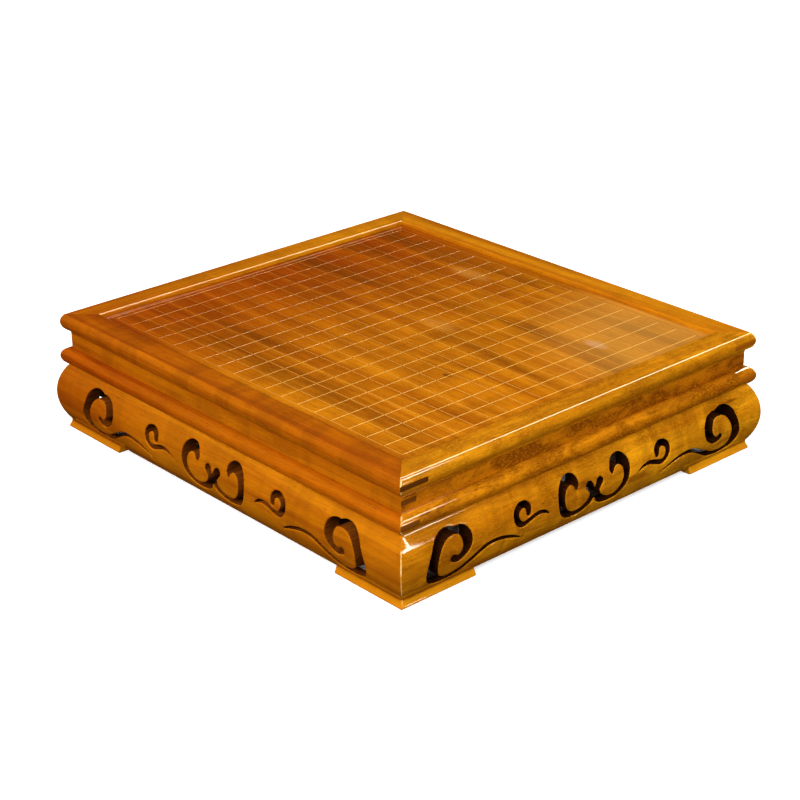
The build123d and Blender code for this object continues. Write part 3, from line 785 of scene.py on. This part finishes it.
def apron_border(half_run, low, high, top, spacing=1.6):
    """Outline of an apron's face from low to high along the side, with a foot at each mitred end."""
    relief = half_run - FOOT_LENGTH

    def line(*corners):
        points = []
        for start, end in zip(corners, corners[1:]):
            points += even_line(start, end, spacing)
        return points

    def mitred_end(sign):
        rows = [p[1] for p in even_line((0, 0.0), (0, top), spacing)] + [top]
        return [np.array((sign * float(mitre_reach(half_run, h)), h)) for h in rows]

    if low < -relief:
        left = mitred_end(-1)
        bottom, at = line(left[0], (-relief, 0), (-relief, FOOT_GAP)), (-relief, FOOT_GAP)
    else:
        left = line((low, FOOT_GAP), (low, top)) + [np.array((low, top))]
        bottom, at = [], (low, FOOT_GAP)
    if high > relief:
        right = mitred_end(1)
        bottom += line(at, (relief, FOOT_GAP), (relief, 0), right[0])
    else:
        right = line((high, FOOT_GAP), (high, top)) + [np.array((high, top))]
        bottom += line(at, (high, FOOT_GAP))
    upper = even_line(right[-1], left[-1], spacing)[1:]
    return np.array(bottom + right + upper + left[:0:-1])


def edge_distance(along, up, half_run, low, high, top):
    """Distance to the straight edges of an apron piece, but not to its mitres."""
    relief = half_run - FOOT_LENGTH
    gap = np.hypot(np.maximum(np.abs(along) - relief, 0), np.maximum(up - FOOT_GAP, 0))
    distance = np.minimum(np.minimum(gap, up), top - up)
    if low > -half_run:
        distance = np.minimum(distance, along - low)
    if high < half_run:
        distance = np.minimum(distance, high - along)
    return np.maximum(distance, 0)


def to_mitre(half_run, flat):
    """How far points of an apron's face lie from its mitred ends."""
    return mitre_reach(half_run, flat[:, 1]) - np.abs(flat[:, 0])


def edge_points(rings, half_run, depth):
    """Points beside the rings, where the rounding of the edges bends the sheet."""
    points = []
    for ring in rings:
        step = np.roll(ring, -1, axis=0) - np.roll(ring, 1, axis=0)
        across = np.stack([-step[:, 1], step[:, 0]], axis=1) / np.linalg.norm(step, axis=1)[:, None]
        for away in (0.134 * EDGE_ROUND, 0.5 * EDGE_ROUND, EDGE_ROUND, 2.2 * EDGE_ROUND):
            for sign in (1, -1):
                at = ring + across * (sign * away)
                clear = np.minimum(depth(at), to_mitre(half_run, at))
                points.extend(at[(clear > away * 0.93) & (clear < away * 1.1)])
    return points


def grid_points(low, high, top, half_run, depth):
    """A grid of points over the sheet, clear of its edges."""
    reach = half_run + 12
    grid = np.stack(np.meshgrid(np.arange(max(low, -reach) + 2.5, min(high, reach), 5.0),
                                np.arange(2.0, top, 3.4), indexing="ij"), axis=-1).reshape(-1, 2)
    clear = np.minimum(depth(grid), to_mitre(half_run, grid))
    return list(grid[clear > EDGE_ROUND * 2.9])


def pierced_sheet(border, loops, free):
    """Points and triangles that fill the border around the loops, through the free points too."""
    points, edges = [], []
    for ring in [border] + loops:
        start = len(points)
        points.extend(ring)
        edges.extend((start + i, start + (i + 1) % len(ring)) for i in range(len(ring)))
    free = np.array(free)
    points.extend(free[inside_loop(free, border)])
    flat, _, triangles, _, _, _ = delaunay_2d_cdt([Vector(p) for p in points], edges, [], 0, 1e-4)
    flat = np.array([(p[0], p[1]) for p in flat])
    triangles = np.array([t for t in triangles if len(t) == 3])
    middles = flat[triangles].mean(axis=1)
    within = inside_loop(middles, border)
    for loop in loops:
        within &= ~inside_loop(middles, loop)
    triangles = triangles[within]
    a, b, c = (flat[triangles[:, k]] for k in range(3))
    area = (b[:, 0] - a[:, 0]) * (c[:, 1] - a[:, 1]) - (c[:, 0] - a[:, 0]) * (b[:, 1] - a[:, 1])
    triangles[area < 0] = triangles[area < 0][:, ::-1]
    triangles = triangles[np.abs(area) > 1e-7]
    used, triangles = np.unique(triangles, return_inverse=True)
    return flat[used], triangles.reshape(-1, 3)


def rounded_face(flat, half_run, depth):
    """How far the front stands out, with its edges and its mitred corners rounded."""
    clear = np.minimum(depth(flat), EDGE_ROUND)
    drop = EDGE_ROUND - np.sqrt(np.maximum(EDGE_ROUND ** 2 - (EDGE_ROUND - clear) ** 2, 0))
    to_corner = np.clip(half_run + bulge(flat[:, 1]) - np.abs(flat[:, 0]), 0, CORNER_ROUND)
    corner_drop = CORNER_ROUND - np.sqrt(CORNER_ROUND ** 2 - (CORNER_ROUND - to_corner) ** 2)
    return bulge(flat[:, 1]) - np.maximum(drop, corner_drop)


def drawn_in(flat, half_run, from_end=30.0):
    """Places along the side of the flat back, drawn in near the ends to meet the mitres."""
    along = flat[:, 0]
    span = half_run - from_end
    share = (np.abs(along) - span) / (mitre_reach(half_run, flat[:, 1]) - span)
    back_end = half_run + APRON_BACK - JOINT_GAP
    return np.where(np.abs(along) > span, np.sign(along) * (span + share * (back_end - span)), along)


def apron_piece(name, side, discs, loops, low, high, top, arris_width=1.6):
    """A bulged board, pierced by the loops: a fine sheet in front, a flat one behind, walls between."""
    half_run = SIDES[side][3]

    def depth(flat):
        return np.minimum(carving_distance(discs, flat[:, 0], flat[:, 1]),
                          edge_distance(flat[:, 0], flat[:, 1], half_run, low, high, top))

    border = apron_border(half_run, low, high, top)
    loops = [loop for loop in loops if loop[:, 0].max() > low - 1 and loop[:, 0].min() < high + 1]
    free = edge_points([border] + loops, half_run, depth) + grid_points(low, high, top, half_run, depth)
    flat, triangles = pierced_sheet(border, loops, free)
    front = on_side(side, flat[:, 0], rounded_face(flat, half_run, depth), flat[:, 1])
    back = on_side(side, drawn_in(flat, half_run), APRON_BACK, flat[:, 1])

    count = len(flat)
    directed = np.concatenate([triangles[:, [0, 1]], triangles[:, [1, 2]], triangles[:, [2, 0]]])
    present = {(int(i), int(j)) for i, j in directed}
    walls = sorted((i, i + count, j + count, j) for i, j in present if (j, i) not in present)
    faces = [tuple(map(int, t)) for t in triangles]
    faces += [tuple(int(i) + count for i in t[::-1]) for t in triangles]
    faces += walls

    # On the short sides, the faces by the mitres take the painted arris highlight.
    at_mitre = (to_mitre(half_run, flat) < arris_width)[triangles].all(axis=1)
    sawn = carving_distance(discs, flat[:, 0], flat[:, 1]) < 0.3
    kinds = [ARRIS if wear_and_highlight else LACQUERED for wear_and_highlight in at_mitre & (side not in LONG_SIDES)]
    # The flat back and the carving's walls take the dark finish with painted shade.
    kinds += [CUT] * len(triangles)
    kinds += [CUT if sawn[wall[0]] and sawn[wall[3]] else LACQUERED for wall in walls]
    stain = sawn_long if side in LONG_SIDES else sawn_short
    return make_piece(name, np.vstack([front, back]), faces,
                      [lacquer["apron", side], stain, arris_highlight], kinds, crease=42.0)


# Each apron's pieces: node, from and to along the side, top and body.
apron_pieces = {side: [(f"apron_{side}", -math.inf, math.inf, APRON_TOP, "board")]
                for side in ("front", "right", "left")}
drawer_top = APRON_TOP - DRAWER_GAP
apron_pieces["back"] = [
    ("apron_back_right", -math.inf, -BAY_EDGE, APRON_TOP, "board"),
    ("apron_back_left", BAY_EDGE, math.inf, APRON_TOP, "board"),
    ("drawer_front_right", -BAY_EDGE + DRAWER_GAP, -DRAWER_GAP / 2, drawer_top, "drawer_right"),
    ("drawer_front_left", DRAWER_GAP / 2, BAY_EDGE - DRAWER_GAP, drawer_top, "drawer_left")]
for side, pieces in apron_pieces.items():
    discs = carving_samples(side)
    loops = [resampled(loop, 1.15) for loop in traced_loops(discs, SIDES[side][3])]
    for node, low, high, top, body in pieces:
        piece = apron_piece(f"{node}_carved", side, discs, loops, low, high, top)
        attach(piece, body)
        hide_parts(node)


# ---- lines of the playing board ----

PAINT = 0.1  # thickness of a line, whose middle lies as far under the board's top


def line_tree():
    """Geometry Nodes that lay the lines both ways and set the star points."""
    tree = bpy.data.node_groups.new("playing_lines", "GeometryNodeTree")
    sockets = {}
    for name, kind, value in (("Lines", "NodeSocketInt", 19),
                              ("Cell Length", "NodeSocketFloat", 23.5 * MM),
                              ("Cell Width", "NodeSocketFloat", 21.2 * MM),
                              ("Line Width", "NodeSocketFloat", 0.78 * MM),
                              ("Paint", "NodeSocketFloat", PAINT * MM),
                              ("Height", "NodeSocketFloat", (PLAYING_HEIGHT - PAINT) * MM),
                              ("Star Radius", "NodeSocketFloat", 1.6 * MM),
                              ("Along Finish", "NodeSocketMaterial", None),
                              ("Across Finish", "NodeSocketMaterial", None)):
        made = tree.interface.new_socket(name=name, in_out="INPUT", socket_type=kind)
        if value is not None:
            made.default_value = value
        sockets[name] = made.identifier
    tree.interface.new_socket(name="Geometry", in_out="OUTPUT", socket_type="NodeSocketGeometry")
    given = tree.nodes.new("NodeGroupInput")
    result = tree.nodes.new("NodeGroupOutput")

    def add_node(kind, inputs, **settings):
        return new_node(tree, kind, inputs, settings)

    def math_node(operation, a, b):
        return add_node("ShaderNodeMath", {0: a, 1: b}, operation=operation).outputs[0]

    def vector(x=0.0, y=0.0, z=0.0):
        return add_node("ShaderNodeCombineXYZ", {0: x, 1: y, 2: z}).outputs[0]

    cells = math_node("SUBTRACT", given.outputs["Lines"], 1)
    run_x = math_node("MULTIPLY", cells, given.outputs["Cell Length"])
    run_y = math_node("MULTIPLY", cells, given.outputs["Cell Width"])
    bars = []
    for finish_name, start, offset, size in (
            ("Along Finish", vector(y=math_node("MULTIPLY", run_y, -0.5), z=given.outputs["Height"]),
             vector(y=given.outputs["Cell Width"]),
             vector(run_x, given.outputs["Line Width"], given.outputs["Paint"])),
            ("Across Finish", vector(x=math_node("MULTIPLY", run_x, -0.5), z=given.outputs["Height"]),
             vector(x=given.outputs["Cell Length"]),
             vector(given.outputs["Line Width"], run_y, given.outputs["Paint"]))):
        places = add_node("GeometryNodeMeshLine", {"Count": given.outputs["Lines"], "Start Location": start,
                                                   "Offset": offset}, mode="OFFSET")
        bar = add_node("GeometryNodeMeshCube", {"Size": size})
        painted = add_node("GeometryNodeSetMaterial", {"Geometry": bar.outputs[0],
                                                       "Material": given.outputs[finish_name]})
        bars.append(add_node("GeometryNodeInstanceOnPoints", {"Points": places.outputs[0],
                                                              "Instance": painted.outputs[0]}).outputs[0])
    star_grid = add_node("GeometryNodeMeshGrid", {
        "Size X": math_node("MULTIPLY", given.outputs["Cell Length"], 12),
        "Size Y": math_node("MULTIPLY", given.outputs["Cell Width"], 12), "Vertices X": 3, "Vertices Y": 3})
    lifted = add_node("GeometryNodeTransform", {
        "Geometry": star_grid.outputs[0], "Translation": vector(z=given.outputs["Height"])})
    star = add_node("GeometryNodeMeshCylinder", {"Vertices": 24, "Radius": given.outputs["Star Radius"],
                                                 "Depth": math_node("MULTIPLY", given.outputs["Paint"], 1.2)})
    painted = add_node("GeometryNodeSetMaterial", {"Geometry": star.outputs[0],
                                                   "Material": given.outputs["Along Finish"]})
    bars.append(add_node("GeometryNodeInstanceOnPoints", {"Points": lifted.outputs[0],
                                                          "Instance": painted.outputs[0]}).outputs[0])
    joined = tree.nodes.new("GeometryNodeJoinGeometry")
    for bar in reversed(bars):
        tree.links.new(bar, joined.inputs[0])
    realized = add_node("GeometryNodeRealizeInstances", {"Geometry": joined.outputs[0]})
    tree.links.new(realized.outputs[0], result.inputs[0])
    return tree, sockets


lines_tree, line_sockets = line_tree()
carrier = bpy.data.objects.new("line_carrier", bpy.data.meshes.new("line_carrier"))
bpy.context.scene.collection.objects.link(carrier)
laid = carrier.modifiers.new("lines", "NODES")
laid.node_group = lines_tree
laid[line_sockets["Along Finish"]] = along_paint.material
laid[line_sockets["Across Finish"]] = across_paint.material
evaluated = carrier.evaluated_get(bpy.context.evaluated_depsgraph_get())
lines_mesh = bpy.data.meshes.new_from_object(evaluated)
lines = bpy.data.objects.new("playing_lines", lines_mesh)
bpy.context.scene.collection.objects.link(lines)
bpy.data.objects.remove(carrier)
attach(lines, "board")


# ---- the CAD pieces that show as they are ----

for name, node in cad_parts.items():
    if name == "board_panel":
        finish = panel_lacquer
    elif name.startswith(("drawer_inner_front", "drawer_back")):
        finish = box_long
    elif name.startswith("drawer"):
        finish = box_deep
    elif name.startswith("case_back"):
        finish = case_long
    else:
        finish = case_deep
    for slot in node.material_slots:
        slot.material = finish.material


# ---- floor ----

# It glows a little and lights nothing. Under the board it does not glow: a painted shadow, which also keeps
# the openings dark.
FLOOR_REACH = 6.0
FLOOR_HEIGHT = -0.0004
floor_finish = Finish("pale_floor")
floor_tone = floor_finish.noise(floor_finish.place((2.0, 2.0, 2.0)), 2.0)
floor_x, floor_y = floor_finish.along(0), floor_finish.along(1)
# Painted shadow: no glow under the board.
board_shadow = (1 - (floor_x * floor_x).step(0.052, 0.064)) * (1 - (floor_y * floor_y).step(0.043, 0.054))
floor_finish.set(Base_Color=floor_finish.mix(floor_tone, (0.90, 0.90, 0.90), (0.93, 0.93, 0.93)),
                 Roughness=0.9, Specular_IOR_Level=0.0, Emission_Strength=0.6,
                 Emission_Color=floor_finish.mix(board_shadow, (1, 1, 1), (0, 0, 0)))
floor_corners = [(-FLOOR_REACH, -FLOOR_REACH, FLOOR_HEIGHT), (FLOOR_REACH, -FLOOR_REACH, FLOOR_HEIGHT),
                 (FLOOR_REACH, FLOOR_REACH, FLOOR_HEIGHT), (-FLOOR_REACH, FLOOR_REACH, FLOOR_HEIGHT)]
floor_mesh = bpy.data.meshes.new("floor")
floor_mesh.from_pydata(floor_corners, [], [(0, 1, 2, 3)])
floor_mesh.materials.append(floor_finish.material)
floor = bpy.data.objects.new("floor", floor_mesh)
bpy.context.scene.collection.objects.link(floor)
floor.visible_glossy = False
floor.visible_diffuse = False

bpy.context.view_layer.update()
